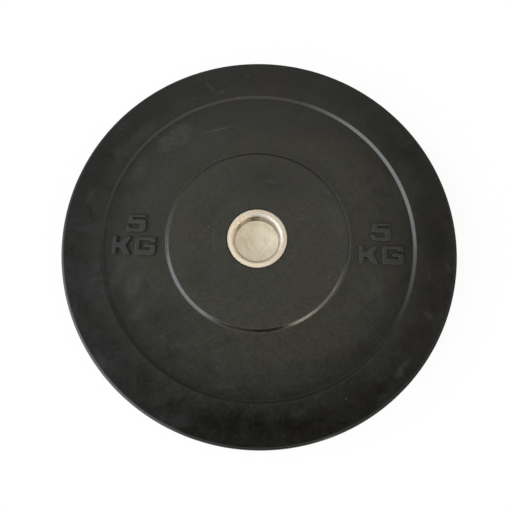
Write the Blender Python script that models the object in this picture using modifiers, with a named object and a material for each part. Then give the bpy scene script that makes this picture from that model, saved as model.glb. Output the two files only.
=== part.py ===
"""Bumper plate for a 50 mm barbell sleeve: a moulded rubber disc on a stainless steel insert.

The plate lies flat, with the bar's axis along Z and the middle of the bore at the origin. Both faces are
alike: a wide rim, a sunk dish and a hub that stands level with the rim. A steel tube with a perforated
anchor ring is moulded into the rubber, which flows through the ring's holes and so can't turn or pull off
it. A flanged bush is pressed into the tube from each face, and the two meet in the middle of the bore.

Run it with blender --background --python part.py, or from Blender's text editor. Sizes are in metres.
"""

import math

import bmesh
import bpy
from mathutils import Matrix, Vector

# Rubber disc
OUTER_DIAMETER = 0.450
THICKNESS = 0.025
OUTER_EDGE_RADIUS = 0.004
RIM_WIDTH = 0.0474
HUB_DIAMETER = 0.2064
DISH_DEPTH = 0.003
RIM_SLOPE_RUN = 0.0036
HUB_SLOPE_RUN = 0.0036
SLOPE_CREST_RADIUS = 0.0012
SLOPE_FOOT_RADIUS = 0.0012
POCKET_LIP_RADIUS = 0.0006

# Stainless bushes
BORE_DIAMETER = 0.0506
MOUTH_WIDTH = 0.0050
MOUTH_DEPTH = 0.008
BUSH_WALL = 0.003
FLANGE_WIDTH = 0.0087
FLANGE_THICKNESS = 0.003
FLANGE_SINK = 0.0003
FLANGE_EDGE_RADIUS = 0.0005
NECK_END_CHAMFER = 0.0006

# Core tube and its anchor ring, both inside the rubber
SLEEVE_WALL = 0.0025
SLEEVE_SHOULDER = 0.0012
SLEEVE_END_CHAMFER = 0.0006
ANCHOR_WIDTH = 0.019
ANCHOR_THICKNESS = 0.003
ANCHOR_HOLE_COUNT = 8
ANCHOR_HOLE_DIAMETER = 0.009

# Gap left between pieces that touch on the real plate
CLEARANCE = 0.0003

# How finely round shapes are cut into flats
TURN_STEPS = 72
HOLE_SIDES = 20
FILLET_STEPS = 2
EDGE_STEPS = 4
MOUTH_STEPS = 6
FILLET_SHARE = 0.45
SHARP_ANGLE = math.radians(30)
MERGE_DISTANCE = 0.00001

# Places worked out from the sizes above
outer_radius = OUTER_DIAMETER / 2
face_height = THICKNESS / 2
dish_height = face_height - DISH_DEPTH
rim_radius = outer_radius - RIM_WIDTH
hub_radius = HUB_DIAMETER / 2
bore_radius = BORE_DIAMETER / 2
neck_radius = bore_radius + BUSH_WALL
flange_radius = bore_radius + FLANGE_WIDTH
flange_face_height = face_height - FLANGE_SINK
flange_seat_height = flange_face_height - FLANGE_THICKNESS - CLEARANCE
sleeve_bore_radius = neck_radius + CLEARANCE
sleeve_radius = sleeve_bore_radius + SLEEVE_WALL
shoulder_radius = sleeve_radius + SLEEVE_SHOULDER
anchor_bore_radius = sleeve_radius + CLEARANCE
anchor_radius = anchor_bore_radius + ANCHOR_WIDTH
anchor_half_thickness = ANCHOR_THICKNESS / 2
anchor_hole_circle = (anchor_bore_radius + anchor_radius) / 2
anchor_slot_thickness = ANCHOR_THICKNESS + 2 * CLEARANCE
shoulder_height = -anchor_slot_thickness / 2


def clear_scene():
    """Removes whatever the scene holds."""
    for obj in list(bpy.data.objects):
        bpy.data.objects.remove(obj, do_unlink=True)


def make_collection(name):
    """A new collection in the scene."""
    collection = bpy.data.collections.new(name)
    bpy.context.scene.collection.children.link(collection)
    return collection


def make_material(name, colour, roughness, metallic=0.0):
    """A Principled material of one finish."""
    material = bpy.data.materials.new(name)
    material.use_nodes = True
    shader = material.node_tree.nodes["Principled BSDF"]
    shader.inputs["Base Color"].default_value = (*colour, 1.0)
    shader.inputs["Roughness"].default_value = roughness
    shader.inputs["Metallic"].default_value = metallic
    return material


def fillet_arc(before, corner, after, radius, steps):
    """Points of the arc that rounds a corner, its radius limited by the two edges beside it."""
    back = (before - corner).normalized()
    ahead = (after - corner).normalized()
    half_angle = back.angle(ahead) / 2
    room = FILLET_SHARE * min((before - corner).length, (after - corner).length)
    reach = min(radius / math.tan(half_angle), room)
    radius = reach * math.tan(half_angle)
    centre = corner + (back + ahead).normalized() * (radius / math.sin(half_angle))
    start = corner + back * reach - centre
    end = corner + ahead * reach - centre
    sweep = start.angle_signed(end)
    points = []
    for step in range(steps + 1):
        turn = -sweep * step / steps
        points.append(centre + Matrix.Rotation(turn, 2) @ start)
    return points


def rounded_outline(corners):
    """Points round a closed outline. A corner is (radius from the axis, height, rounding, arc steps)."""
    points = []
    count = len(corners)
    for index, (radius, height, rounding, steps) in enumerate(corners):
        corner = Vector((radius, height))
        before = Vector(corners[index - 1][:2])
        after = Vector(corners[(index + 1) % count][:2])
        if rounding > 0:
            points.extend(fillet_arc(before, corner, after, rounding, steps))
        else:
            points.append(corner)
    return points


def add_turned(name, corners, collection):
    """A piece turned about Z from a closed outline that runs outwards along its top and down its outside."""
    shape = bmesh.new()
    ring = [shape.verts.new((point.x, 0.0, point.y)) for point in rounded_outline(corners)]
    for index, vertex in enumerate(ring):
        shape.edges.new((ring[index - 1], vertex))
    mesh = bpy.data.meshes.new(name)
    shape.to_mesh(mesh)
    shape.free()
    piece = bpy.data.objects.new(name, mesh)
    collection.objects.link(piece)
    turn = piece.modifiers.new("Turn", "SCREW")
    turn.axis = "Z"
    turn.angle = math.tau
    turn.steps = TURN_STEPS
    turn.render_steps = TURN_STEPS
    turn.merge_threshold = MERGE_DISTANCE
    return piece


def add_pins(name, radius, collection):
    """Upright pins on the anchor ring's hole circle, one for each hole."""
    shape = bmesh.new()
    for index in range(ANCHOR_HOLE_COUNT):
        angle = math.tau * index / ANCHOR_HOLE_COUNT
        place = Matrix.Rotation(angle, 4, "Z") @ Matrix.Translation((anchor_hole_circle, 0.0, 0.0))
        bmesh.ops.create_cone(
            shape,
            cap_ends=True,
            segments=HOLE_SIDES,
            radius1=radius,
            radius2=radius,
            depth=2 * anchor_slot_thickness,
            matrix=place,
        )
    mesh = bpy.data.meshes.new(name)
    shape.to_mesh(mesh)
    shape.free()
    pins = bpy.data.objects.new(name, mesh)
    collection.objects.link(pins)
    return pins


def subtract(piece, cutter):
    """Cuts one piece's shape out of another, and keeps the cutter as a hidden guide."""
    cut = piece.modifiers.new("Cut", "BOOLEAN")
    cut.operation = "DIFFERENCE"
    cut.solver = "EXACT"
    cut.object = cutter
    cutter.hide_render = True
    cutter.display_type = "WIRE"


def finish_piece(piece, material):
    """Applies a piece's modifiers, shades its round faces smooth and gives it its material."""
    graph = bpy.context.evaluated_depsgraph_get()
    graph.update()
    mesh = bpy.data.meshes.new_from_object(piece.evaluated_get(graph))
    mesh.name = piece.name
    mesh.shade_smooth()
    mesh.set_sharp_from_angle(angle=SHARP_ANGLE)
    piece.modifiers.clear()
    piece.data = mesh
    mesh.materials.clear()
    mesh.materials.append(material)


def face_corners(side):
    """Corners of one rubber face from the hub's pocket lip to the outer edge, side 1 above and -1 below."""
    face = side * face_height
    dish = side * dish_height
    return [
        (flange_radius + CLEARANCE, face, POCKET_LIP_RADIUS, FILLET_STEPS),
        (hub_radius - HUB_SLOPE_RUN / 2, face, SLOPE_CREST_RADIUS, FILLET_STEPS),
        (hub_radius + HUB_SLOPE_RUN / 2, dish, SLOPE_FOOT_RADIUS, FILLET_STEPS),
        (rim_radius - RIM_SLOPE_RUN / 2, dish, SLOPE_FOOT_RADIUS, FILLET_STEPS),
        (rim_radius + RIM_SLOPE_RUN / 2, face, SLOPE_CREST_RADIUS, FILLET_STEPS),
        (outer_radius, face, OUTER_EDGE_RADIUS, EDGE_STEPS),
    ]


def make_rubber_body(parts, guides, material):
    """The moulded disc, with pockets for the bushes' flanges, the tube and the perforated anchor ring.

    The anchor ring's space is cut by a ring that has smaller holes than the real one, so that a rubber
    pillar is left standing in each hole.
    """
    flange_seat = flange_seat_height
    tube_pocket = sleeve_radius + CLEARANCE
    shoulder_pocket = shoulder_radius + CLEARANCE
    corners = [
        *face_corners(1),
        *reversed(face_corners(-1)),
        (flange_radius + CLEARANCE, -flange_seat, 0, 0),
        (shoulder_pocket, -flange_seat, 0, 0),
        (shoulder_pocket, shoulder_height, 0, 0),
        (tube_pocket, shoulder_height, 0, 0),
        (tube_pocket, flange_seat, 0, 0),
        (flange_radius + CLEARANCE, flange_seat, 0, 0),
    ]
    body = add_turned("rubber_body", corners, parts)
    slot_height = anchor_slot_thickness / 2
    slot_radius = anchor_radius + CLEARANCE
    slot = add_turned(
        "anchor_slot_guide",
        [
            (sleeve_bore_radius, slot_height, 0, 0),
            (slot_radius, slot_height, 0, 0),
            (slot_radius, -slot_height, 0, 0),
            (sleeve_bore_radius, -slot_height, 0, 0),
        ],
        guides,
    )
    pillars = add_pins("rubber_pillar_guide", ANCHOR_HOLE_DIAMETER / 2 - CLEARANCE, guides)
    subtract(slot, pillars)
    subtract(body, slot)
    finish_piece(body, material)
    return body


def make_anchor_ring(parts, guides, material):
    """The flat steel ring round the core tube, with a circle of holes that the rubber flows through."""
    corners = [
        (anchor_bore_radius, anchor_half_thickness, 0, 0),
        (anchor_radius, anchor_half_thickness, 0, 0),
        (anchor_radius, -anchor_half_thickness, 0, 0),
        (anchor_bore_radius, -anchor_half_thickness, 0, 0),
    ]
    ring = add_turned("anchor_ring", corners, parts)
    holes = add_pins("anchor_hole_guide", ANCHOR_HOLE_DIAMETER / 2, guides)
    subtract(ring, holes)
    finish_piece(ring, material)
    return ring


def make_core_sleeve(parts, material):
    """The steel tube between the two flanges, stepped to a shoulder that the anchor ring sits on."""
    top = flange_seat_height
    chamfer = SLEEVE_END_CHAMFER
    corners = [
        (sleeve_bore_radius, top, chamfer, 1),
        (sleeve_radius, top, chamfer, 1),
        (sleeve_radius, shoulder_height, 0, 0),
        (shoulder_radius, shoulder_height, 0, 0),
        (shoulder_radius, -top, chamfer, 1),
        (sleeve_bore_radius, -top, chamfer, 1),
    ]
    sleeve = add_turned("core_sleeve", corners, parts)
    finish_piece(sleeve, material)
    return sleeve


def mouth_corners():
    """Corners of the bore's bell mouth, a quarter of an ellipse from the bore out to the flange's face."""
    corners = []
    for step in range(MOUTH_STEPS + 1):
        turn = math.pi / 2 * step / MOUTH_STEPS
        radius = bore_radius + MOUTH_WIDTH * (1 - math.cos(turn))
        height = flange_face_height - MOUTH_DEPTH * (1 - math.sin(turn))
        corners.append((radius, height, 0, 0))
    return corners


def make_bush(name, turned_over, parts, material):
    """A flanged bush, its flange in the hub's face and its neck down to the middle of the bore."""
    neck_end = CLEARANCE / 2
    flange_back = flange_face_height - FLANGE_THICKNESS
    corners = [
        *mouth_corners(),
        (flange_radius, flange_face_height, FLANGE_EDGE_RADIUS, FILLET_STEPS),
        (flange_radius, flange_back, 0, 0),
        (neck_radius, flange_back, 0, 0),
        (neck_radius, neck_end, NECK_END_CHAMFER, 1),
        (bore_radius, neck_end, 0, 0),
    ]
    bush = add_turned(name, corners, parts)
    finish_piece(bush, material)
    if turned_over:
        bush.rotation_euler = (math.pi, 0.0, 0.0)
    return bush


def main():
    """Builds the plate."""
    clear_scene()
    parts = make_collection("bumper_plate")
    guides = make_collection("guides")
    rubber = make_material("black_rubber", (0.030, 0.031, 0.026), 0.62)
    stainless = make_material("turned_stainless", (0.62, 0.57, 0.50), 0.28, 1.0)
    tube_steel = make_material("tube_steel", (0.30, 0.30, 0.31), 0.45, 1.0)
    plate_steel = make_material("zinc_plated_steel", (0.48, 0.49, 0.50), 0.40, 1.0)
    make_rubber_body(parts, guides, rubber)
    make_core_sleeve(parts, tube_steel)
    make_anchor_ring(parts, guides, plate_steel)
    make_bush("front_bush", False, parts, stainless)
    make_bush("rear_bush", True, parts, stainless)


main()
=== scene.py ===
"""Looks of a rubber bumper plate that lies flat on a pale studio floor.

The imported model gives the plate's size and the place of each piece. The script puts finely turned pieces in
place of the faceted rubber disc and its stainless bushes, adds the raised figures and letters of the two
faces, dresses every piece and sets up the floor, the lamps and the camera. All sizes are in metres.
"""

import logging
import math
from dataclasses import dataclass
from enum import Enum
from typing import Any, Iterable

import bmesh
import bpy
from mathutils import Euler, Matrix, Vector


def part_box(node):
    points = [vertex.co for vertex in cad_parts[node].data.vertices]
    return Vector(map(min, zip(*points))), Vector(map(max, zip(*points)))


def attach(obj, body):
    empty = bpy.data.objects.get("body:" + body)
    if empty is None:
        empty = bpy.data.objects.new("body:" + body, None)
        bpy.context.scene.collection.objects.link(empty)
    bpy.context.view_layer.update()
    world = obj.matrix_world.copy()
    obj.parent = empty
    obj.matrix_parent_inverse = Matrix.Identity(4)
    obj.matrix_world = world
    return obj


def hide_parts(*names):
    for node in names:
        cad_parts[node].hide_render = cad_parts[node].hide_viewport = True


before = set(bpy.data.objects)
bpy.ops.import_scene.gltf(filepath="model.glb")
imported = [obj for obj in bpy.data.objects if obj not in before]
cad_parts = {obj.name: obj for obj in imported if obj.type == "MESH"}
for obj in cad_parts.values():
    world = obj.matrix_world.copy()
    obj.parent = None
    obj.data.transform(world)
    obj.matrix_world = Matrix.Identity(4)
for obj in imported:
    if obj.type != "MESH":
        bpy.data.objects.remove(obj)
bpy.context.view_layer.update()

LOG = logging.getLogger("bumper_plate")
BODY = "root"
MM = 0.001

Triple = tuple[float, float, float]
Colour = Triple
Point = tuple[float, float]
Band = tuple[float, float, float, float]


def rgb(*levels: float) -> Colour:
    """Turns a colour as a screen shows it into the linear colour that a shader takes.

    Args:
        *levels: Red, green and blue from 0 to 255.

    Returns:
        The same colour as linear values from 0 to 1.
    """
    linear = []
    for level in levels:
        share = level / 255
        linear.append(share / 12.92 if share <= 0.04045 else ((share + 0.055) / 1.055) ** 2.4)
    return tuple(linear)


class Value:
    """A shader socket that takes part in arithmetic. Each step adds one Math node."""

    def __init__(self, graph: "Graph", socket: bpy.types.NodeSocket) -> None:
        """Keeps an output socket.

        Args:
            graph: The graph that the socket belongs to.
            socket: The output socket.
        """
        self.graph = graph
        self.socket = socket

    def math(self, operation: str, *terms: Any) -> "Value":
        """Adds a Math node.

        Args:
            operation: The node's operation.
            *terms: Numbers or values, in the order of the node's sockets.

        Returns:
            The node's result.
        """
        return self.graph.add("ShaderNodeMath", {"operation": operation}, dict(enumerate(terms)))

    def __add__(self, other: Any) -> "Value":
        """Sum with a value or a number, on either side."""
        return self.math("ADD", self, other)

    __radd__ = __add__

    def __sub__(self, other: Any) -> "Value":
        """Difference of two values."""
        return self.math("SUBTRACT", self, other)

    def __rsub__(self, other: Any) -> "Value":
        """Difference from a number on the left."""
        return self.math("SUBTRACT", other, self)

    def __mul__(self, other: Any) -> "Value":
        """Product with a value or a number, on either side."""
        return self.math("MULTIPLY", self, other)

    __rmul__ = __mul__

    def __pow__(self, other: Any) -> "Value":
        """A value raised to a power."""
        return self.math("POWER", self, other)

    def size(self) -> "Value":
        """The value without its sign."""
        return self.math("ABSOLUTE", self)

    def either(self, other: Any) -> "Value":
        """The larger of two values."""
        return self.math("MAXIMUM", self, other)

    def beside(self, output: str) -> "Value":
        """Another output of the node that this value comes from."""
        return Value(self.graph, self.socket.node.outputs[output])

    def ramp(self, low: float, high: float) -> "Value":
        """Rises smoothly from 0 to 1 between two levels, or falls where the first is the higher.

        Args:
            low: The level that gives 0.
            high: The level that gives 1.

        Returns:
            The eased value.
        """
        settings = {"interpolation_type": "SMOOTHSTEP"}
        if low <= high:
            return self.graph.add("ShaderNodeMapRange", settings, {0: self, 1: low, 2: high})
        return self.graph.add("ShaderNodeMapRange", settings, {0: self, 1: high, 2: low, 3: 1.0, 4: 0.0})

    def within(self, band: Band) -> "Value":
        """Rises to 1 between the first two levels of a band and falls back to 0 between its last two.

        Args:
            band: The four levels, in rising order.

        Returns:
            The eased value.
        """
        start, full, ebb, end = band
        return self.ramp(start, full) * self.ramp(end, ebb)


class Graph:
    """A tree of shader nodes that is written as expressions."""

    def __init__(self, tree: bpy.types.NodeTree) -> None:
        """Keeps the tree.

        Args:
            tree: The node tree of a material or a world.
        """
        self.tree = tree

    def add(
        self,
        kind: str,
        settings: dict[str, Any] | None = None,
        sockets: dict[int | str, Any] | None = None,
        output: int | str = 0,
    ) -> Value:
        """Adds one node.

        Args:
            kind: The node's type.
            settings: The node's own properties, set first.
            sockets: Numbers, colours or values for the node's inputs, by name or by index.
            output: The output that is handed back, by name or by index.

        Returns:
            The output as a value.
        """
        node = self.tree.nodes.new(kind)
        for name, setting in (settings or {}).items():
            setattr(node, name, setting)
        for key, value in (sockets or {}).items():
            self.feed(node.inputs[key], value)
        return Value(self, node.outputs[output])

    def feed(self, socket: bpy.types.NodeSocket, value: Any) -> None:
        """Links a value to an input socket, or sets the socket to a number or a colour.

        Args:
            socket: The input socket.
            value: A value of this graph, a number, a vector or a colour.
        """
        if isinstance(value, Value):
            self.tree.links.new(value.socket, socket)
        elif socket.type == "RGBA":
            socket.default_value = (*value, 1.0)
        else:
            socket.default_value = value

    def blend(self, first: Any, second: Any, share: Any) -> Value:
        """Mixes two colours.

        Args:
            first: The colour at a share of 0.
            second: The colour at a share of 1.
            share: A number or a value from 0 to 1.

        Returns:
            The mixed colour.
        """
        settings = {"data_type": "RGBA", "clamp_factor": True}
        return self.add("ShaderNodeMix", settings, {0: share, 6: first, 7: second}, output=2)

    def oval(self, place: Value, centre: Triple, turn: Triple, half_sizes: Triple) -> Value:
        """How far a place is from an oval's middle, counted so that its edge is at 1.

        Args:
            place: The place or the direction.
            centre: The oval's middle.
            turn: The oval's turn in degrees, as an XYZ Euler.
            half_sizes: Its half sizes along its own axes.

        Returns:
            The distance, 0 at the middle and 1 at the edge.
        """
        sockets = {
            "Vector": place,
            "Location": centre,
            "Rotation": tuple(math.radians(angle) for angle in turn),
            "Scale": half_sizes,
        }
        mapped = self.add("ShaderNodeMapping", {"vector_type": "TEXTURE"}, sockets)
        return self.add("ShaderNodeVectorMath", {"operation": "LENGTH"}, {0: mapped}, output="Value")


class Finish(Graph):
    """The nodes of one material, which end in its Principled shader."""

    def __init__(self, name: str) -> None:
        """Makes a material and the coordinates that its patterns share.

        Args:
            name: The material's name.
        """
        self.material = bpy.data.materials.new(name)
        self.material.use_nodes = True
        super().__init__(self.material.node_tree)
        self.shader = self.tree.nodes["Principled BSDF"]
        self.place = self.add("ShaderNodeTexCoord", output="Object")
        self.x = self.add("ShaderNodeSeparateXYZ", sockets={0: self.place}, output="X")
        self.y = self.x.beside("Y")
        self.height = self.x.beside("Z")
        self.radius = (self.x * self.x + self.y * self.y) ** 0.5
        upright = self.add("ShaderNodeSeparateXYZ", sockets={0: self.place.beside("Normal")}, output="Z")
        self.flatness = upright.size()

    def complete(self, **sockets: Any) -> bpy.types.Material:
        """Feeds the Principled shader.

        Args:
            **sockets: Its inputs, named with low dashes for spaces.

        Returns:
            The finished material.
        """
        for name, value in sockets.items():
            self.feed(self.shader.inputs[name.replace("_", " ")], value)
        return self.material

    def noise(
        self,
        grain: float,
        detail: float = 3.0,
        roughness: float = 0.5,
        stretch: Triple = (1.0, 1.0, 1.0),
        turn: float = 0.0,
        shift: Triple = (0.0, 0.0, 0.0),
        warp: float = 0.0,
    ) -> Value:
        """Cloudy noise from 0 to 1 in the piece's own space.

        Args:
            grain: The size of a cloud in metres.
            detail: How many finer layers it has.
            roughness: How strong the finer layers are.
            stretch: How many times longer a cloud is along each axis.
            turn: The angle of the stretch about Z, in degrees.
            shift: Moves the pattern, so that two noises differ.
            warp: How much the noise bends itself.

        Returns:
            The noise.
        """
        spin = (0.0, 0.0, math.radians(turn))
        mapping = {"Vector": self.place, "Location": shift, "Rotation": spin, "Scale": stretch}
        mapped = self.add("ShaderNodeMapping", {"vector_type": "TEXTURE"}, mapping)
        sockets = {
            "Vector": mapped,
            "Scale": 1.0 / grain,
            "Detail": detail,
            "Roughness": roughness,
            "Distortion": warp,
        }
        return self.add("ShaderNodeTexNoise", sockets=sockets, output="Fac")

    def bump(self, height: Value, depth: float, base: Value | None = None) -> Value:
        """Turns a height from 0 to 1 into a surface normal.

        Args:
            height: The height.
            depth: How deep a height of 1 is, in metres.
            base: A normal that this one is laid over.

        Returns:
            The normal.
        """
        sockets = {"Height": height, "Distance": depth, "Strength": 1.0}
        if base is not None:
            sockets["Normal"] = base
        return self.add("ShaderNodeBump", sockets=sockets)

    def rings(self, pitch: float) -> Value:
        """Fine circles about the plate's axis, such as a lathe leaves.

        Args:
            pitch: The width of one circle in metres.

        Returns:
            A value from 0 to 1 that changes from circle to circle.
        """
        settings = {"noise_dimensions": "1D"}
        sockets = {"W": (self.radius + self.height) * (1.0 / pitch), "Scale": 1.0, "Detail": 2.0}
        return self.add("ShaderNodeTexNoise", settings, sockets, output="Fac")

    def ragged(self, reach: float, grain: float) -> Value:
        """The piece's own space, pushed about by noise, so that a shape laid in it gets an uneven edge.

        Args:
            reach: How far a place is moved at most, in metres.
            grain: The size of the unevenness in metres.

        Returns:
            The moved place.
        """
        cloud = self.noise(grain, detail=4.0, roughness=0.6, shift=(0.5, 0.9, 0.0)).beside("Color")
        centred = self.add("ShaderNodeVectorMath", {"operation": "SUBTRACT"}, {0: cloud, 1: (0.5, 0.5, 0.5)})
        pushed = self.add("ShaderNodeVectorMath", {"operation": "SCALE"}, {0: centred, "Scale": 4.0 * reach})
        return self.add("ShaderNodeVectorMath", {"operation": "ADD"}, {0: self.place, 1: pushed})

    def specks(self, spacing: float, size: float, rarity: float, shift: Point = (0.0, 0.0)) -> Value:
        """Small round dots, scattered at random.

        Args:
            spacing: The average distance between places for a dot.
            size: A dot's radius.
            rarity: The share of the places that stay empty, from 0 to 1.
            shift: Moves the pattern, so that two scatters differ.

        Returns:
            1 on a dot and 0 elsewhere.
        """
        moved = self.add("ShaderNodeMapping", sockets={"Vector": self.place, "Location": (*shift, 0.0)})
        sockets = {"Vector": moved, "Scale": 1.0 / spacing}
        away = self.add("ShaderNodeTexVoronoi", sockets=sockets, output="Distance")
        reach = size / spacing
        luck = self.add("ShaderNodeSeparateColor", sockets={0: away.beside("Color")})
        return away.ramp(reach, 0.5 * reach) * luck.ramp(rarity, rarity + 0.02)


@dataclass(frozen=True)
class Smudge:
    """A soft-edged oval mark on a face of the plate, in millimetres and degrees."""

    x: float
    y: float
    half_length: float
    half_width: float
    angle: float
    strength: float
    softness: float = 1.0

    def mask(self, finish: Finish, place: Value) -> Value:
        """Where the mark lies.

        Args:
            finish: The nodes of the marked material.
            place: The space that the mark is laid in.

        Returns:
            The mark's strength at its middle, falling to 0 at its edge.
        """
        centre = (self.x * MM, self.y * MM, 0.0)
        half_sizes = (self.half_length * MM, self.half_width * MM, 1.0)
        away = finish.oval(place, centre, (0.0, 0.0, self.angle), half_sizes)
        return away.ramp(1.0, 1.0 - self.softness) * self.strength


FRONT_PALE_MARKS = (
    Smudge(-103, 121, 30, 14, 42, 0.42, 0.4),
    Smudge(-142, 78, 26, 14, 60, 0.34),
    Smudge(-137, -62, 13, 24, -8, 0.38),
    Smudge(-130, -88, 12, 15, -20, 0.38),
    Smudge(-143, 124, 32, 10, 49, 0.28),
    Smudge(-196, 44, 8, 16, -10, 0.22),
    Smudge(-157, -48, 10, 30, -16, 0.34),
    Smudge(-155, 38, 10, 20, 12, 0.18),
    Smudge(86, 30, 12, 44, 20, 0.20),
    Smudge(130, -50, 17, 20, 0, 0.20),
    Smudge(76, -87, 9, 6, 30, 0.30),
    Smudge(90, -114, 7, 5, 0, 0.26),
    Smudge(-80, -124, 16, 9, 20, 0.22),
    Smudge(-30, -162, 18, 7, -6, 0.32),
    Smudge(188, -77, 9, 7, -40, 0.34),
    Smudge(191, -34, 4, 9, 10, 0.20),
    Smudge(212, -24, 4, 8, 20, 0.22),
    Smudge(158, -137, 20, 5, 49, 0.4),
    Smudge(50, -187, 16, 9, 8, 0.20),
    Smudge(-168, 97, 16, 20, -30, 0.26),
    Smudge(-97, 168, 14, 22, -60, 0.15),
)
FRONT_SCRATCHES = (
    Smudge(-50, 134.5, 31, 2.4, 16, 0.65),
    Smudge(-64, 189, 13, 3.2, -38, 0.4),
    Smudge(-50, 183, 12, 2.5, 20, 0.3),
    Smudge(15, 68, 9, 1.0, -22, 1.0, 0.6),
    Smudge(18, 46, 3, 1.2, 30, 0.5),
    Smudge(52, 25, 18, 0.7, 10.6, 0.6, 0.6),
    Smudge(46, 16, 8, 0.6, -50, 0.5, 0.6),
)
# Dark marks of the front face. The large soft ovals, tens of millimetres across, are painted shade over the
# hub, the dish and the rim; the small ones are dirt marks.
FRONT_DARK_MARKS_AND_SHADE = (
    Smudge(14, 74, 80, 45, 0, 0.44),
    Smudge(20, 140, 110, 28, -4, 0.42),
    Smudge(-62, 22, 26, 26, 0, 0.22),
    Smudge(-47, 33, 42, 9, 55, 0.20),
    Smudge(186, -50, 16, 26, -15, 0.35),
    Smudge(182, 49, 10, 20, 15, 0.35),
    Smudge(-62, -45, 38, 24, -48, 0.24),
    Smudge(-92, -98, 60, 36, -48, 0.40),
    Smudge(172, 108, 52, 24, -58, 0.32),
    Smudge(196, 6, 64, 26, 88, 0.62),
    Smudge(0, -190, 120, 24, 0, 0.29),
    Smudge(-152, 138, 7, 10, 20, 0.8),
    Smudge(-193, 22, 4, 14, 10, 0.6),
    Smudge(-181, 13, 3, 9, 0, 0.45),
    Smudge(-176, 102, 9, 14, -25, 0.25),
    Smudge(-130, 168, 14, 8, 38, 0.4),
    Smudge(-89, 180, 15, 6, 27, 0.35),
    Smudge(208, 0, 7, 16, 0, 0.5),
    Smudge(209, -55, 7, 16, -15, 0.45),
    Smudge(116, -180, 26, 10, 33, 0.35),
)
BACK_PALE_MARKS = (
    Smudge(96, 118, 20, 9, -30, 0.55),
    Smudge(140, -70, 10, 18, 14, 0.5),
)
BACK_SCRATCHES = (
    Smudge(-60, -138, 24, 1.1, 12, 0.8, 0.7),
    Smudge(24, -62, 10, 0.6, 40, 0.8, 0.6),
)
BACK_DARK_MARKS = (
    Smudge(170, 96, 8, 13, -20, 0.8),
    Smudge(-188, -44, 4, 14, -12, 0.7),
)
BORE_STAINS = (
    Smudge(-3, 26, 13, 3.0, 8, 0.45),
    Smudge(-22, 14, 7, 2.6, 60, 0.3),
)
FLOOR_SCRATCH = Smudge(12.5, -4, 26, 1.3, 53, 0.6, 0.6)


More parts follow.
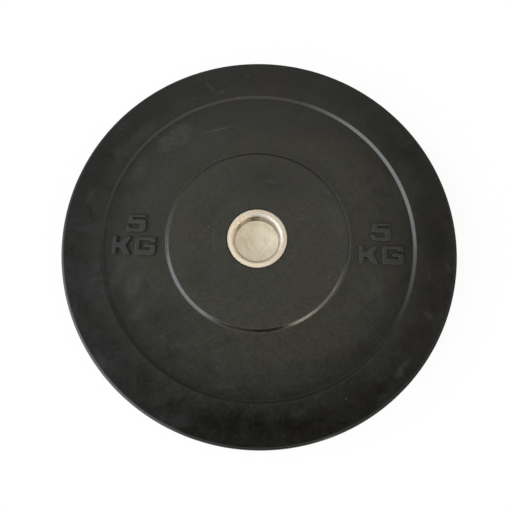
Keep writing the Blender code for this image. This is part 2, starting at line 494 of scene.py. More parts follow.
class MouldedRubber(Finish):
    """Black moulded rubber: greenish grey with dust towards the hub, cleaner and darker out to the rim.

    Bands and steps are distances from the axis. Numbers in the methods are shares, or places on the faces.
    """

    hub: Colour = rgb(50.5, 49, 42.5)
    rim: Colour = rgb(14, 13, 9)
    neutral_hub: Colour = rgb(50, 51, 48)
    neutral_rim: Colour = rgb(14, 13.5, 13)
    chalk: Colour = rgb(78, 80, 76)
    cool: Colour = rgb(50, 49, 52)
    warm: Colour = rgb(55, 47, 38)
    # Dark colour of stains and dirt, also laid on as painted shade.
    stain: Colour = rgb(5, 5, 4)
    dust: Colour = rgb(150, 148, 138)
    hub_roughness: float = 0.46
    rim_roughness: float = 0.34
    slope_roughness: float = 0.26
    dusty_dish: float = 0.80
    worn_dish: float = 0.30
    cloud_size: float = 0.028
    tint_size: float = 0.055
    wipe_size: float = 0.012
    mottle_size: float = 0.0036
    pebble_size: float = 0.0018
    grain_size: float = 0.0007
    grain_depth: float = 0.00003
    wave_size: float = 0.035
    wave_depth: float = 0.0003
    slant: Point = (0.97, 0.85)
    raised_height: Point = (0.0100, 0.0112)
    middle: Point = (-0.001, 0.001)
    flange_joint: Point = (0.0362, 0.0344)
    neck_band: Band = (0.0358, 0.0376, 0.040, 0.048)
    neck_arc: Band = (0.0485, 0.0500, 0.0505, 0.0520)
    off_hub: Point = (0.101, 0.107)
    hub_step: Point = (0.108, 0.106)
    hub_foot_band: Band = (0.1040, 0.1056, 0.1062, 0.1078)
    across_dish: Point = (0.125, 0.182)
    dish_band: Band = (0.107, 0.109, 0.170, 0.172)
    # Where painted shade lies on the dish at the rim step's foot.
    rim_foot_shade_band: Band = (0.150, 0.174, 0.1755, 0.1775)
    rim_step: Point = (0.172, 0.174)
    onto_rim: Point = (0.176, 0.204)
    outer_edge: Point = (0.2200, 0.2224)

    def __init__(self) -> None:
        """Lays out the zones, the patterns and the marks that the tone and the gloss share."""
        super().__init__("moulded_rubber")
        slanting = self.flatness.ramp(*self.slant)
        in_dish = self.radius.within(self.dish_band)
        self.steep = slanting * (self.radius.ramp(*self.hub_step) + self.radius.ramp(*self.rim_step))
        # The letters' walls, which are darkened: partly cleaner rubber than their dusty tops, partly painted
        # shade.
        self.letter_walls = slanting * in_dish
        self.raised = self.height.size().ramp(*self.raised_height) * in_dish
        self.hub_foot = self.radius.within(self.hub_foot_band)
        self.even = 1.0 - self.steep * 0.8
        self.front = self.height.ramp(*self.middle)
        self.back = 1.0 - self.front
        self.upper = self.y.ramp(-0.20, -0.12)
        # Painted shade on the outer rounded edge, which dulls its reflection of the bright floor; it is
        # weaker on the lower left, where the edge keeps its highlight.
        gleaming = (self.x * 0.8 + self.y * 0.6).ramp(-0.14, -0.20)
        self.shaded_edge = self.radius.ramp(*self.outer_edge) * (1.0 - gleaming * 0.65)
        # Painted shade on the rim step at the far right, just below the middle, which dims the bright band
        # there.
        self.shaded_step = self.steep * self.x.ramp(0.14, 0.17) * self.y.ramp(0.04, -0.02)
        self.clouds = self.noise(self.cloud_size, detail=6.0, roughness=0.66, warp=0.5)
        self.tint = self.noise(self.tint_size, 4.0, 0.6, shift=(0.7, 0.2, 0.0))
        stretch = (1.0, 1.5, 1.0)
        self.wipes = self.noise(self.wipe_size, 6.0, 0.68, stretch, turn=-30.0, shift=(0.3, 0.1, 0.0))
        self.mottle = self.noise(self.mottle_size, 4.0, 0.62, shift=(0.1, 0.6, 0.0))
        self.pebbles = self.noise(self.pebble_size, 3.0, 0.65)
        uneven = self.ragged(0.004, 0.012)
        crisp = self.ragged(0.0007, 0.008)
        self.pale = self.on_faces(FRONT_PALE_MARKS, BACK_PALE_MARKS, uneven)
        # Dirt marks, and on the front also the large ovals of painted shade.
        self.dark = self.on_faces(FRONT_DARK_MARKS_AND_SHADE, BACK_DARK_MARKS, uneven)
        scratches = self.on_faces(FRONT_SCRATCHES, BACK_SCRATCHES, crisp)
        # Painted highlight: a pale line along the hub step's foot on the right side, laid on with the chalk.
        foot_highlight = self.hub_foot * self.x.ramp(0.06, 0.105)
        arc = self.radius.within(self.neck_arc) * (self.y * 0.6 - self.x).ramp(0.02, 0.05) * self.front
        self.thin = scratches + foot_highlight * 0.8 + arc * 0.25
        self.dusty = self.dustiness()

    def on_faces(self, front: Iterable[Smudge], back: Iterable[Smudge], place: Value) -> Value:
        """Lays marks on the two faces.

        Args:
            front: The marks of the front face.
            back: The marks of the back face.
            place: The space that the marks are laid in.

        Returns:
            Their summed strength.
        """
        on_front = sum(mark.mask(self, place) for mark in front)
        on_back = sum(mark.mask(self, place) for mark in back)
        return on_front * self.front + on_back * self.back

    def dustiness(self) -> Value:
        """How dusty the rubber is: most on the hub and the raised marks, least on the rim.

        Returns:
            The share of the hub's dusty tone, from 0 to 1.
        """
        off_hub = self.radius.ramp(*self.off_hub)
        outwards = self.radius.ramp(*self.across_dish)
        share = 1.0 - off_hub * (1.0 - self.dusty_dish) - outwards * (self.dusty_dish - self.worn_dish)
        share = share * (1.0 - self.radius.ramp(*self.onto_rim))
        # The slopes carry less dust than the flats; that they are barer and darker towards the bottom is
        # painted shade.
        wiped = 0.85 - 0.60 * self.y.ramp(-0.07, 0.06)
        on_marks = self.raised * (0.12 - 0.08 * self.x.ramp(-0.02, 0.02))
        on_neck = self.radius.within(self.neck_band) * (0.08 + 0.14 * self.x.ramp(-0.03, 0.03))
        return share * (1.0 - self.steep * wiped) + on_marks + self.hub_foot * 0.22 + on_neck

    def soiled_and_shaded(self) -> Value:
        """Where the rubber is darkened: by dirt in clouds and at the flange, by painted shade at the rim
        step's foot, on the rim step at the far right and on the outer edge, and on the letters' walls, partly
        cleaner rubber and partly painted shade.

        Returns:
            The share of the dark colour, dirt and painted shade together.
        """
        cloudy = self.clouds.ramp(0.46, 0.30) * (0.50 - 0.35 * self.dusty) * (0.22 + 0.78 * self.upper)
        wiped = self.wipes.ramp(0.44, 0.30) * 0.25
        joint = self.radius.ramp(*self.flange_joint) * 0.8
        # Painted shade on the dish next to the rim step's foot, over the lower part of the face, where the
        # rim wall would shade it.
        foot = self.radius.within(self.rim_foot_shade_band) * self.y.ramp(0.09, -0.06) * 0.26
        # Painted shade on the outer edge and on the rim step at the far right, and darker letter walls,
        # partly cleaner rubber and partly painted shade.
        lines = self.letter_walls * 0.45 + self.shaded_edge * 0.6 + self.shaded_step * 0.5
        return (cloudy + wiped) * self.even + joint + foot + lines

    def tone(self) -> Value:
        """The colour: bare rubber with cool and warm patches, then chalk with a painted highlight at the hub
        step's foot, dirt together with painted shade, grains and specks.

        Returns:
            The colour.
        """
        neutral = (self.x * (self.front - self.back)).ramp(-0.05, -0.13) * self.radius.ramp(0.12, 0.17)
        neutral = neutral.either((1.0 - self.upper) * 0.7)
        warm_side = self.blend(self.rim, self.hub, self.dusty)
        neutral_side = self.blend(self.neutral_rim, self.neutral_hub, self.dusty)
        cooled = self.tint.ramp(0.46, 0.64) * self.clouds.ramp(0.36, 0.60) * (0.18 + 0.20 * neutral)
        warmed = self.tint.ramp(0.50, 0.36) * self.wipes.ramp(0.36, 0.64)
        warmed = warmed * (0.3 + 0.7 * self.upper) * (0.19 - 0.15 * neutral)
        # The chalk also carries the painted highlight at the hub step's foot.
        chalky = self.pale * (0.70 + 0.30 * self.wipes.ramp(0.36, 0.64))
        chalky = chalky * (0.50 + 0.20 * self.pebbles.ramp(0.25, 0.75)) + self.thin * 0.6
        streaky = 0.6 + (self.wipes.ramp(0.35, 0.6) - 0.6) * (0.13 + 0.30 * self.upper)
        grains = self.pebbles.ramp(0.52, 0.34) * 0.24 + self.mottle.ramp(0.60, 0.34) * 0.22
        specks = self.specks(0.009, 0.0010, 0.60) + self.specks(0.004, 0.0006, 0.70, (0.2, 0.4))
        clustered = specks * (0.25 + self.clouds.ramp(0.50, 0.66))
        colour = self.blend(warm_side, neutral_side, neutral)
        for layer, share in (
            (self.cool, cooled),
            (self.warm, warmed),
            (self.chalk, chalky),
            # Dark marks, dirt and painted shade, all in the dark stain colour.
            (self.stain, self.dark * streaky + self.soiled_and_shaded()),
            (self.stain, grains * self.even),
            (self.dust, clustered * 0.20),
        ):
            colour = self.blend(colour, layer, share)
        return colour

    def gloss(self) -> Value:
        """The roughness: matt with dust, glossier on the clean rim and on the sloped steps.

        Returns:
            The roughness.
        """
        matt_edge = self.shaded_edge * self.y.ramp(-0.213, -0.200)
        plain = self.dusty * (self.hub_roughness - self.rim_roughness) + self.rim_roughness
        patchy = (self.wipes - 0.5) * 0.16 + (self.mottle - 0.5) * 0.12
        cloudy = (self.clouds - 0.5) * (1.0 - self.dusty) * (0.10 + 0.20 * self.upper)
        marked = self.raised * 0.30 + self.pale * 0.14 - self.dark * 0.10 + matt_edge * 0.60
        stepped = self.shaded_step * 0.10 - self.steep * (self.rim_roughness - self.slope_roughness)
        return plain + patchy + cloudy + marked + stepped

    def make(self) -> bpy.types.Material:
        """Builds the material.

        Returns:
            The rubber material.
        """
        waves = self.bump(self.noise(self.wave_size, detail=1.0), self.wave_depth)
        fine = self.noise(self.grain_size, detail=2.0, roughness=0.6) * self.even
        return self.complete(
            Base_Color=self.tone(),
            Roughness=self.gloss(),
            Normal=self.bump(fine, self.grain_depth, waves),
        )


@dataclass(frozen=True)
class TurnedStainless:
    """Stainless steel as it leaves the lathe, a little yellowed by handling, with painted shade towards the
    upper right and at the flange's outer edge on the lower left, and a painted dark reflection on the mouth's
    rounding at the lower left. Bands are from the axis.
    """

    clean: Colour = rgb(255, 241, 221)
    # Yellowed by handling, and also laid on as painted shade on the upper-right side of the flange.
    handled_and_shaded: Colour = rgb(236, 216, 192)
    shaded: Colour = rgb(184, 176, 160)
    # Neutral grey painted shade in the mouth on the upper right.
    mouth_shade_grey: Colour = rgb(198, 194, 186)
    grime: Colour = rgb(110, 90, 70)
    # Dirt colour on the upper-right side, greyer there as painted cool light.
    grime_with_painted_cool_light: Colour = rgb(114, 104, 92)
    roughness: float = 0.66
    line_pitch: float = 0.00035
    line_depth: float = 0.000015
    stain_size: float = 0.009
    bore_height: Point = (0.0108, 0.0084)
    mouth_height: Point = (0.0090, 0.0105)
    mouth_radius: Point = (0.0306, 0.0290)
    # Where the painted dark reflection on the mouth's rounding lies.
    rounding_dark_reflection_band: Band = (0.0260, 0.0270, 0.0278, 0.0288)
    flange_edge: Point = (0.0322, 0.0337)

    def make(self) -> bpy.types.Material:
        """Builds the material.

        Returns:
            The stainless material.
        """
        finish = Finish("turned_stainless")
        lines = finish.rings(self.line_pitch)
        stains = finish.noise(self.stain_size, detail=4.0, roughness=0.6, warp=0.8)
        height = finish.height.size()
        inside = height.ramp(*self.bore_height)
        # The upper-right side, where painted shade is laid on the flange and in the mouth.
        lean = (finish.x * 0.77 + finish.y * 0.64).ramp(-0.030, 0.030)
        rightwards = (finish.x * 0.97 + finish.y * 0.26).ramp(-0.026, 0.026)
        in_mouth = finish.radius.ramp(*self.mouth_radius) * height.ramp(*self.mouth_height)
        spots = sum(stain.mask(finish, finish.place) for stain in BORE_STAINS)
        # Painted dark reflection on the mouth's rounding, on the lower left.
        rounding_dark_reflection = finish.radius.within(self.rounding_dark_reflection_band) * (1.0 - lean)
        # Painted shade at the flange's outer edge, on the lower left.
        edge = finish.radius.ramp(*self.flange_edge) * (1.0 - lean)
        # Handling stains and lathe lines, with painted shade added towards the upper right.
        handled_and_shaded = stains.ramp(0.38, 0.68) * (0.15 + 0.40 * lean) + lines.ramp(0.45, 0.75) * 0.25
        colour = finish.blend(self.clean, self.handled_and_shaded, handled_and_shaded)
        # Painted shade in the shaded colour: on the upper-right flange outside the mouth, and at the outer
        # edge on the lower left.
        colour = finish.blend(colour, self.shaded, lean * (1.0 - in_mouth) * 0.30 + edge * 0.5)
        # Painted shade in the mouth on the upper right, in neutral grey.
        colour = finish.blend(colour, self.mouth_shade_grey, lean * in_mouth)
        dirt = 0.30 + 0.26 * rightwards + 0.2 * stains.ramp(0.4, 0.7) + spots
        # Dirt colour, greyer on the upper right as painted cool light.
        soil = finish.blend(self.grime, self.grime_with_painted_cool_light, lean)
        colour = finish.blend(colour, soil, inside * dirt + rounding_dark_reflection * 0.30)
        roughness = stains * 0.14 + lines * 0.10 + inside * 0.08 + (self.roughness - 0.12)
        return finish.complete(
            Base_Color=colour,
            Metallic=1.0,
            Roughness=roughness,
            Normal=finish.bump(lines, self.line_depth),
        )


@dataclass(frozen=True)
class ShopSteel:
    """Plain steel of an inner piece, with a light mill texture."""

    name: str
    light: Colour
    dark: Colour
    roughness: float
    cloud_size: float = 0.006
    grain_size: float = 0.0008
    grain_depth: float = 0.00002

    def make(self) -> bpy.types.Material:
        """Builds the material.

        Returns:
            The steel material.
        """
        finish = Finish(self.name)
        cloud = finish.noise(self.cloud_size, detail=4.0, roughness=0.6)
        grain = finish.noise(self.grain_size, detail=2.0)
        return finish.complete(
            Base_Color=finish.blend(self.dark, self.light, cloud.ramp(0.35, 0.65)),
            Metallic=1.0,
            Roughness=cloud * 0.2 + (self.roughness - 0.1),
            Normal=finish.bump(grain, self.grain_depth),
        )


@dataclass(frozen=True)
class PaleFloor:
    """The studio floor: white, with a beige concrete tone under the plate that shows through the bore."""

    white: Colour = (1.0, 1.0, 1.0)
    under_plate: Colour = rgb(240, 231, 208)
    scuffed: Colour = rgb(224, 211, 184)
    streak: Colour = rgb(255, 246, 224)
    patch_radius: float = 0.12
    patch_fade: float = 0.02
    scuff_size: float = 0.007
    shown_white: float = 0.93
    shown_in_bore: float = 0.45

    def make(self) -> bpy.types.Material:
        """Builds the material.

        Returns:
            The floor material, whose white background keeps the plate's shadow.
        """
        finish = Finish("pale_floor")
        under = finish.radius.ramp(self.patch_radius + self.patch_fade, self.patch_radius)
        worn = finish.noise(self.scuff_size, detail=5.0, roughness=0.65, stretch=(1.0, 2.2, 1.0), turn=32.0)
        tone = finish.blend(self.under_plate, self.scuffed, worn.ramp(0.40, 0.70))
        scratch = FLOOR_SCRATCH.mask(finish, finish.ragged(0.0008, 0.006))
        tone = finish.blend(tone, self.streak, scratch)
        colour = finish.blend(self.white, tone, under)
        finish.complete(Base_Color=colour, Roughness=0.8)
        glow = finish.add("ShaderNodeEmission", sockets={"Color": colour, "Strength": 1.0})
        camera_ray = finish.add("ShaderNodeLightPath", output="Is Camera Ray")
        mirrored = camera_ray.beside("Is Glossy Ray").either(camera_ray.beside("Is Transmission Ray"))
        seen = camera_ray.either(mirrored)
        lit = Value(finish, finish.shader.outputs["BSDF"])
        shown = self.shown_white - under * (self.shown_white - self.shown_in_bore)
        mixed = finish.add("ShaderNodeMixShader", sockets={0: seen * shown, 1: lit, 2: glow})
        finish.feed(finish.tree.nodes["Material Output"].inputs["Surface"], mixed)
        return finish.material


@dataclass(frozen=True)
class Corner:
    """A corner of a turned outline: its place, and how far along its edges the rounding starts."""

    radius: float
    height: float
    reach: float = 0.0
    segments: int = 6


def trace(shape: bmesh.types.BMesh, corners: Iterable[tuple[Triple, float, int]]) -> None:
    """Draws a closed outline and rounds its corners.

    Args:
        shape: The shape that it is drawn in.
        corners: Each corner's place, how far from it the rounding starts, and the rounding's steps.
    """
    ring = [(shape.verts.new(place), reach, segments) for place, reach, segments in corners]
    for index, (vertex, _, _) in enumerate(ring):
        shape.edges.new((ring[index - 1][0], vertex))
    for vertex, reach, segments in ring:
        if reach > 0:
            bmesh.ops.bevel(
                shape,
                geom=[vertex],
                offset=reach,
                offset_type="OFFSET",
                segments=segments,
                profile=0.5,
                affect="VERTICES",
                material=-1,
            )


@dataclass
class TurnedPiece:
    """A closed outline that is rounded at its corners and spun about the plate's axis."""

    name: str
    corners: list[Corner]
    steps: int = 512
    support: float = 0.00012
    long_edge: float = 0.0008

    def build(self) -> bpy.types.Object:
        """Makes the piece.

        Returns:
            The new object, smooth shaded and closed.
        """
        shape = bmesh.new()
        corners = []
        for corner in self.corners:
            corners.append(((corner.radius, 0.0, corner.height), corner.reach, corner.segments))
        trace(shape, corners)
        self.hold_flats(shape)
        bmesh.ops.spin(
            shape,
            geom=list(shape.verts) + list(shape.edges),
            axis=(0.0, 0.0, 1.0),
            angle=math.tau,
            steps=self.steps,
            use_merge=True,
        )
        bmesh.ops.recalc_face_normals(shape, faces=shape.faces)
        return finish_mesh(self.name, shape)

    def hold_flats(self, shape: bmesh.types.BMesh) -> None:
        """Splits each long edge close to its ends, so that flat bands stay flat under smooth shading.

        Args:
            shape: The wire outline.
        """
        for edge in list(shape.edges):
            length = edge.calc_length()
            if length < self.long_edge:
                continue
            start, end = edge.verts
            near_start = bmesh.utils.edge_split(edge, start, self.support / length)[1]
            rest = next(link for link in near_start.link_edges if end in link.verts)
            bmesh.utils.edge_split(rest, end, self.support / rest.calc_length())


class Slot(Enum):
    """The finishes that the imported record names."""

    RUBBER = "black_rubber"
    STAINLESS = "stainless"
    TUBE = "tube_steel"
    PLATED = "plated_steel"


class Side(Enum):
    """The two faces of the plate, and the sign of their height."""

    FRONT = 1
    BACK = -1


def finish_mesh(name: str, shape: bmesh.types.BMesh, sharp: float = 180.0) -> bpy.types.Object:
    """Turns a shape into an object of the scene.

    Args:
        name: The piece's name.
        shape: The shape, which is freed.
        sharp: The angle in degrees from which an edge stays crisp.

    Returns:
        The new object.
    """
    mesh = bpy.data.meshes.new(name)
    shape.to_mesh(mesh)
    shape.free()
    mesh.shade_smooth()
    mesh.set_sharp_from_angle(angle=math.radians(sharp))
    piece = bpy.data.objects.new(name, mesh)
    bpy.context.scene.collection.objects.link(piece)
    return piece


def dress(piece: bpy.types.Object, material: bpy.types.Material, slot: Slot) -> None:
    """Gives a piece its finish and the body that it moves with.

    Args:
        piece: The piece.
        material: Its material.
        slot: The record's finish that the material stands for.
    """
    piece.data.materials.clear()
    piece.data.materials.append(material)
    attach(piece, BODY)
    LOG.info("%s: %d faces, %s", piece.name, len(piece.data.polygons), slot.value)


@dataclass
class RubberDisc:
    """The moulded disc: rim, sunk dish and hub on both faces, a drafted side wall and the insert's seats."""

    material: bpy.types.Material
    dish_depth: float = 0.003
    rim_foot: float = 0.1758
    rim_crest: float = 0.1794
    hub_crest: float = 0.1014
    hub_foot: float = 0.1050
    outer_rounding: float = 0.0040
    slope_reach: float = 0.00056
    lip_rounding: float = 0.0006
    wall_draft: float = 0.0005
    parting_ridge: float = 0.0003
    parting_half_width: float = 0.0007
    parting_rounding: float = 0.0002
    clearance: float = 0.0003

    def __post_init__(self) -> None:
        """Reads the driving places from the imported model."""
        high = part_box("rubber_body")[1]
        self.outer_radius = high.x
        self.face = high.z
        self.dish = self.face - self.dish_depth
        self.pocket_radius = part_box("front_bush")[1].x + self.clearance
        self.pocket_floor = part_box("core_sleeve")[1].z
        self.shoulder_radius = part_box("core_sleeve")[1].x + self.clearance
        self.slot_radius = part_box("anchor_ring")[1].x + self.clearance
        self.slot_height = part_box("anchor_ring")[1].z + self.clearance

    def face_corners(self, side: Side) -> list[Corner]:
        """Corners of one face from the insert's pocket to the outer edge.

        Args:
            side: The face.

        Returns:
            The corners, from the inside out.
        """
        face = side.value * self.face
        dish = side.value * self.dish
        return [
            Corner(self.pocket_radius, face, self.lip_rounding),
            Corner(self.hub_crest, face, self.slope_reach),
            Corner(self.hub_foot, dish, self.slope_reach),
            Corner(self.rim_foot, dish, self.slope_reach),
            Corner(self.rim_crest, face, self.slope_reach),
            Corner(self.outer_radius - self.wall_draft, face, self.outer_rounding, 12),
        ]

    def wall_corners(self) -> list[Corner]:
        """Corners of the side wall, which leans in from the mould's parting line.

        Returns:
            The corners of the raised parting line, from the front down.
        """
        wall = self.outer_radius - self.parting_ridge
        return [
            Corner(wall, 2 * self.parting_half_width),
            Corner(self.outer_radius, self.parting_half_width, self.parting_rounding, 3),
            Corner(self.outer_radius, -self.parting_half_width, self.parting_rounding, 3),
            Corner(wall, -2 * self.parting_half_width),
        ]

    def seat_corners(self) -> list[Corner]:
        """Corners of the space for the insert, from the back up to the front.

        Returns:
            The corners of the two flange seats, the tube's space and the anchor ring's slot.
        """
        seats = (
            (self.slot_radius, self.slot_height),
            (self.shoulder_radius, self.slot_height),
            (self.shoulder_radius, self.pocket_floor),
            (self.pocket_radius, self.pocket_floor),
        )
        back = [Corner(radius, -height) for radius, height in reversed(seats)]
        return back + [Corner(radius, height) for radius, height in seats]

    def build(self) -> None:
        """Makes the disc and hides the faceted one."""
        corners = [*self.face_corners(Side.FRONT), *self.wall_corners()]
        corners += [*reversed(self.face_corners(Side.BACK)), *self.seat_corners()]
        disc = TurnedPiece("rubber_disc", corners).build()
        dress(disc, self.material, Slot.RUBBER)
        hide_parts("rubber_body")


@dataclass
class FlangedBush:
    """One of the two stainless bushes that line the bore, its flange let into the hub."""

    node: str
    side: Side
    material: bpy.types.Material
    bore_radius: float = 0.0253
    neck_radius: float = 0.0283
    flange_thickness: float = 0.003
    mouth_width: float = 0.0050
    mouth_depth: float = 0.008
    mouth_steps: int = 20
    edge_rounding: float = 0.0005
    neck_end: float = 0.00015
    steps: int = 256

    def mouth(self, face: float) -> list[Corner]:
        """The bore's mouth, a quarter of an ellipse from the bore out to the flange's face.

        Args:
            face: The height of the flange's face above the plate's middle.

        Returns:
            The points of the curve, from the bore outwards.
        """
        points = []
        for step in range(self.mouth_steps + 1):
            turn = math.pi / 2 * step / self.mouth_steps
            radius = self.bore_radius + self.mouth_width * (1.0 - math.cos(turn))
            height = face - self.mouth_depth * (1.0 - math.sin(turn))
            points.append(Corner(radius, self.side.value * height))
        return points

    def build(self) -> None:
        """Makes the bush and hides the faceted one."""
        low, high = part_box(self.node)
        flange_radius = high.x
        flange_face = max(abs(low.z), abs(high.z))
        flange_back = flange_face - self.flange_thickness
        sign = self.side.value
        corners = [
            *self.mouth(flange_face),
            Corner(flange_radius, sign * flange_face, self.edge_rounding),
            Corner(flange_radius, sign * flange_back),
            Corner(self.neck_radius, sign * flange_back),
            Corner(self.neck_radius, sign * self.neck_end, self.edge_rounding, 1),
            Corner(self.bore_radius, sign * self.neck_end),
        ]
        bush = TurnedPiece(f"{self.node}_turned", corners, self.steps).build()
        dress(bush, self.material, Slot.STAINLESS)
        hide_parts(self.node)


@dataclass(frozen=True)
class Glyph:
    """A raised figure or letter: its outline in millimetres, each point with the reach of its rounding."""

    width: float
    height: float
    outline: tuple[Triple, ...]


FIVE = Glyph(
    width=23.6,
    height=21.3,
    outline=(
        (0, 0, 4.8), (23.6, 0, 5), (23.6, 15.8, 3.4), (8.1, 15.6, 0),
        (8.1, 17.5, 0), (22.8, 17.4, 0), (22.8, 21.3, 0), (1.9, 21.3, 0),
        (0.9, 9.6, 0), (15.5, 9.5, 0.9), (15.5, 5.2, 0.9), (6.4, 5.2, 0),
        (2.9, 8.5, 0), (0, 8.5, 0),
    ),
)
LETTER_K = Glyph(
    width=22.5,
    height=21.8,
    outline=(
        (0, 0, 0), (5.6, 0, 0), (5.6, 7.6, 0), (9.2, 7.6, 0),
        (15.6, 0, 0), (22.5, 0, 0), (16.2, 11.2, 0), (22.5, 21.8, 0),
        (15.6, 21.8, 0), (7.6, 14.6, 0), (5.6, 14.6, 0), (5.6, 21.8, 0),
        (0, 21.8, 0),
    ),
)
LETTER_G = Glyph(
    width=24.4,
    height=22.0,
    outline=(
        (0, 0, 3.2), (24.4, 0, 4.8), (24.4, 13.8, 0), (11.4, 13.8, 0),
        (11.4, 9.0, 0), (17.8, 9.0, 0), (17.8, 7.2, 0), (6, 7.2, 0),
        (6, 17.2, 0), (18, 17.2, 0), (18, 14.9, 0), (24.4, 14.9, 0),
        (24.4, 22, 2), (0, 22, 3.4),
    ),
)


@dataclass
class RaisedMarks:
    """The weight in raised figures and letters, twice on each face."""

    material: bpy.types.Material
    dish: float
    centre_x: float = 0.1399
    figure_y: float = 0.0127
    figure_shift: float = 0.0004
    letters_y: float = -0.0137
    letter_gap: float = 0.0032
    rise: float = 0.0024
    draft: float = 0.0005
    sunk: float = 0.0003
    edge_rounding: float = 0.0008
    support: float = 0.00005
    rounded_angle: float = 30.0
    sharp_angle: float = 50.0

    def raise_glyph(self, shape: bmesh.types.BMesh, glyph: Glyph, centre: Point, turn: Matrix) -> None:
        """Adds one closed figure or letter that stands on the dish.

        Args:
            shape: The shape that it is added to.
            glyph: The figure or letter.
            centre: The middle of its place on the front face.
            turn: The turn from the front face to its own face.
        """
        left = centre[0] - glyph.width * MM / 2
        bottom = centre[1] - glyph.height * MM / 2
        letter = bmesh.new()
        corners = []
        for x, y, reach in glyph.outline:
            corners.append(((left + x * MM, bottom + y * MM, self.dish - self.sunk), reach * MM, 6))
        trace(letter, corners)
        base = bmesh.ops.contextual_create(letter, geom=list(letter.edges))["faces"]
        raised = bmesh.ops.extrude_face_region(letter, geom=base)["geom"]
        top = [item for item in raised if isinstance(item, bmesh.types.BMFace)]
        bmesh.ops.translate(letter, vec=(0.0, 0.0, self.sunk), verts=top[0].verts)
        bmesh.ops.recalc_face_normals(letter, faces=letter.faces)
        bmesh.ops.inset_region(letter, faces=top, thickness=self.draft, depth=self.rise, use_even_offset=True)
        bmesh.ops.recalc_face_normals(letter, faces=letter.faces)
        self.round_edges(letter)
        bmesh.ops.transform(letter, matrix=turn, verts=letter.verts)
        part = bpy.data.meshes.new("letter")
        letter.to_mesh(part)
        letter.free()
        shape.from_mesh(part)
        bpy.data.meshes.remove(part)

    def round_edges(self, letter: bmesh.types.BMesh) -> None:
        """Rounds the crisp edges of a raised letter and keeps its top flat under smooth shading.

        Args:
            letter: The letter, which stands upright.
        """
        crisp = []
        for edge in letter.edges:
            raised = max(vertex.co.z for vertex in edge.verts) > self.dish + self.rise / 2
            if raised and edge.calc_face_angle() > math.radians(self.rounded_angle):
                crisp.append(edge)
        bmesh.ops.bevel(
            letter,
            geom=crisp,
            offset=self.edge_rounding,
            offset_type="OFFSET",
            segments=3,
            profile=0.5,
            affect="EDGES",
            material=-1,
        )
        top = max(letter.faces, key=lambda face: face.calc_area() * max(face.normal.z, 0.0))
        bmesh.ops.inset_region(letter, faces=[top], thickness=self.support, use_even_offset=True)

    def build(self) -> None:
        """Makes one piece for each group of marks."""
        row = LETTER_K.width * MM + self.letter_gap + LETTER_G.width * MM
        for side in Side:
            turn = Matrix.Rotation(0.0 if side is Side.FRONT else math.pi, 4, "Y")
            for place, centre_x in (("right", self.centre_x), ("left", -self.centre_x)):
                shape = bmesh.new()
                k_x = centre_x - row / 2 + LETTER_K.width * MM / 2
                g_x = centre_x + row / 2 - LETTER_G.width * MM / 2
                self.raise_glyph(shape, FIVE, (centre_x + self.figure_shift, self.figure_y), turn)
                self.raise_glyph(shape, LETTER_K, (k_x, self.letters_y), turn)
                self.raise_glyph(shape, LETTER_G, (g_x, self.letters_y), turn)
                marks = finish_mesh(f"{side.name.lower()}_{place}_raised_weight", shape, self.sharp_angle)
                dress(marks, self.material, Slot.RUBBER)


@dataclass
class InsertCore:
    """The two steel pieces inside the rubber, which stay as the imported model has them."""

    tube: bpy.types.Material
    ring: bpy.types.Material

    def dress(self) -> None:
        """Gives both pieces their finishes."""
        for node, material in (("core_sleeve", self.tube), ("anchor_ring", self.ring)):
            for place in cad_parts[node].material_slots:
                place.material = material
            LOG.info("%s: finished as it is", node)


@dataclass(frozen=True)
class SoftLight:
    """A soft patch of light far away, or a dark card where its strength is below 0.

    Angles are in degrees, and half sizes are sines of half angles.
    """

    azimuth: float
    elevation: float
    half_width: float
    half_height: float
    strength: float
    colour: Colour = (1.0, 1.0, 1.0)
    softness: float = 0.5

    def shine(self, graph: Graph, direction: Value) -> Value:
        """The light that comes from a direction.

        Args:
            graph: The world's graph.
            direction: The direction that is looked in.

        Returns:
            The patch's coloured light.
        """
        turn = math.radians(self.azimuth)
        tilt = math.radians(self.elevation)
        centre = (math.cos(turn) * math.cos(tilt), math.sin(turn) * math.cos(tilt), math.sin(tilt))
        half_sizes = (1.0, self.half_width, self.half_height)
        away = graph.oval(direction, centre, (0.0, -self.elevation, self.azimuth), half_sizes)
        share = away.ramp(1.0, 1.0 - self.softness) * self.strength
        return graph.add("ShaderNodeVectorMath", {"operation": "SCALE"}, {0: self.colour, "Scale": share})


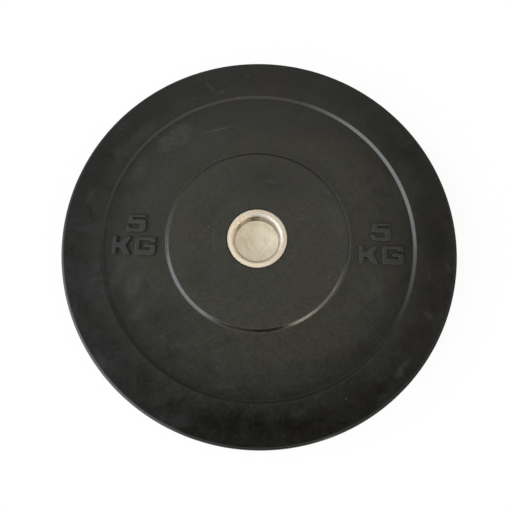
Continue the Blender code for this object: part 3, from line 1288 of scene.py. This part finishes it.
@dataclass(frozen=True)
class Studio:
    """Plain soft light: a panel overhead, a cool window low on the left and warm lamps low at the front.

    The camera sees the world plain white. Glossy rays see the soft patches, which are the studio's lamps.
    """

    fill: Colour = (0.31, 0.30, 0.27)
    backdrop: Colour = (1.0, 1.0, 1.0)
    floor_reach: float = 4.0
    floor_gap: float = 0.0001
    floor_cells: int = 8
    lights: tuple[SoftLight, ...] = (
        SoftLight(azimuth=96, elevation=50, half_width=0.62, half_height=0.36, strength=0.46, softness=0.7),
        SoftLight(275, 77, 0.48, 0.38, -0.44, softness=0.7),
        SoftLight(20, 8, 0.95, 0.32, 0.72, softness=0.6),
        SoftLight(203, 22, 0.70, 0.66, 4.8, (0.90, 0.96, 1.0), 0.35),
        SoftLight(160, 20, 0.31, 0.36, 2.6, (0.92, 0.97, 1.0), 0.8),
        SoftLight(292, 45, 0.82, 0.36, 1.0, (1.0, 0.97, 0.94), 0.6),
        SoftLight(345, 32, 0.46, 0.28, 0.5, (1.0, 0.96, 0.94), 0.7),
        SoftLight(15, 42, 0.34, 0.26, 0.8, softness=0.6),
        SoftLight(281, 12, 0.34, 0.34, -0.45, softness=0.4),
        SoftLight(308, 4, 0.25, 0.25, 9.6, (1.0, 0.88, 0.70), 0.6),
        SoftLight(330, 3, 0.54, 0.28, 3.4, (1.0, 0.93, 0.82), 0.6),
    )

    def lay_floor(self) -> None:
        """Lays a wide floor just under the plate."""
        shape = bmesh.new()
        bmesh.ops.create_grid(
            shape,
            x_segments=self.floor_cells,
            y_segments=self.floor_cells,
            size=self.floor_reach,
            matrix=Matrix.Translation((0.0, 0.0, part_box("rubber_body")[0].z - self.floor_gap)),
        )
        floor = finish_mesh("studio_floor", shape)
        floor.data.materials.append(PaleFloor().make())

    def light_world(self) -> None:
        """Lights the surroundings with a dim fill and the soft patches."""
        world = bpy.data.worlds.new("soft_room")
        bpy.context.scene.world = world
        world.use_nodes = True
        graph = Graph(world.node_tree)
        direction = graph.add("ShaderNodeTexCoord", output="Generated")
        glow = self.fill
        for light in self.lights:
            sockets = {0: glow, 1: light.shine(graph, direction)}
            glow = graph.add("ShaderNodeVectorMath", {"operation": "ADD"}, sockets)
        camera_ray = graph.add("ShaderNodeLightPath", output="Is Camera Ray")
        seen = camera_ray.either(camera_ray.beside("Is Transmission Ray"))
        graph.feed(graph.tree.nodes["Background"].inputs["Color"], graph.blend(glow, self.backdrop, seen))


@dataclass(frozen=True)
class PhotoCamera:
    """The photograph's view: from above, and a little from the side where the figures' feet point."""

    location: Triple = (-0.0049, -0.1178, 0.5098)
    tilt: Triple = (12.86, 1.28, 2.5)
    lens: float = 31.64
    sensor_width: float = 36.0
    shift: Point = (0.0342, -0.0283)
    nearest: float = 0.01

    def place(self) -> None:
        """Puts the camera in the scene and makes it the scene's own."""
        data = bpy.data.cameras.new("photo_camera")
        data.lens = self.lens
        data.sensor_width = self.sensor_width
        data.shift_x, data.shift_y = self.shift
        data.clip_start = self.nearest
        camera = bpy.data.objects.new("photo_camera", data)
        camera.location = self.location
        camera.rotation_euler = Euler([math.radians(angle) for angle in self.tilt])
        bpy.context.scene.collection.objects.link(camera)
        bpy.context.scene.camera = camera


def main() -> None:
    """Builds the plate's looks, the studio and the camera."""
    logging.basicConfig(level=logging.INFO)
    rubber = MouldedRubber().make()
    stainless = TurnedStainless().make()
    tube_steel = ShopSteel("tube_steel", rgb(150, 150, 152), rgb(110, 110, 112), 0.45).make()
    plated_steel = ShopSteel("plated_steel", rgb(190, 192, 196), rgb(150, 152, 158), 0.40).make()
    disc = RubberDisc(rubber)
    disc.build()
    RaisedMarks(rubber, disc.dish).build()
    FlangedBush("front_bush", Side.FRONT, stainless).build()
    FlangedBush("rear_bush", Side.BACK, stainless).build()
    InsertCore(tube_steel, plated_steel).dress()
    studio = Studio()
    studio.lay_floor()
    studio.light_world()
    PhotoCamera().place()
    bpy.context.scene.view_settings.view_transform = "Standard"


if __name__ == "__main__":
    main()
